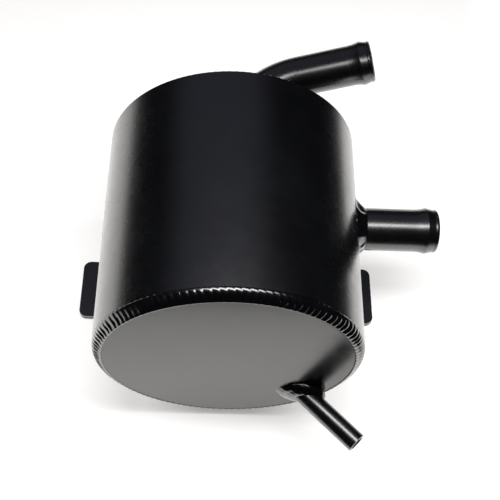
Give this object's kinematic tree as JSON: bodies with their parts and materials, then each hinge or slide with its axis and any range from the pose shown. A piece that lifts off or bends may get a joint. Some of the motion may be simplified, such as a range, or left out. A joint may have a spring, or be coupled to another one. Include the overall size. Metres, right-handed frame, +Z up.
{
  "type": "oil vapour tank",
  "caption": "Upright welded round tank that catches oil vapour, with a beaded side hose tube, a bent beaded vent tube on top, a slanted drain tube below and a flat back bracket.",
  "frame": {"origin": "middle of the mounting bracket's flat back face", "axes": "+Y points out of the bracket's back face, away from the tank; +Z points up along the tank's own axis; +X points out along the side hose tube"},
  "size_m": [0.1828, 0.1283, 0.2059],
  "materials": {
    "black_coat": "smooth semi-gloss black coat over welded aluminium",
    "bare_aluminium": "plain sheet, uncoated"
  },
  "bodies": {
    "root": {"tank_shell": "black_coat", "bottom_cap": "black_coat", "top_cap": "black_coat", "bottom_rim_weld": "black_coat", "top_rim_weld": "black_coat", "side_tube": "black_coat", "side_tube_weld": "black_coat", "vent_tube": "black_coat", "vent_tube_weld": "black_coat", "drain_tube": "black_coat", "drain_weld": "black_coat", "mounting_bracket": "black_coat", "bracket_weld_left": "black_coat", "bracket_weld_right": "black_coat", "baffle_plate": "bare_aluminium", "baffle_tacks": "bare_aluminium"}
  },
  "joints": []
}
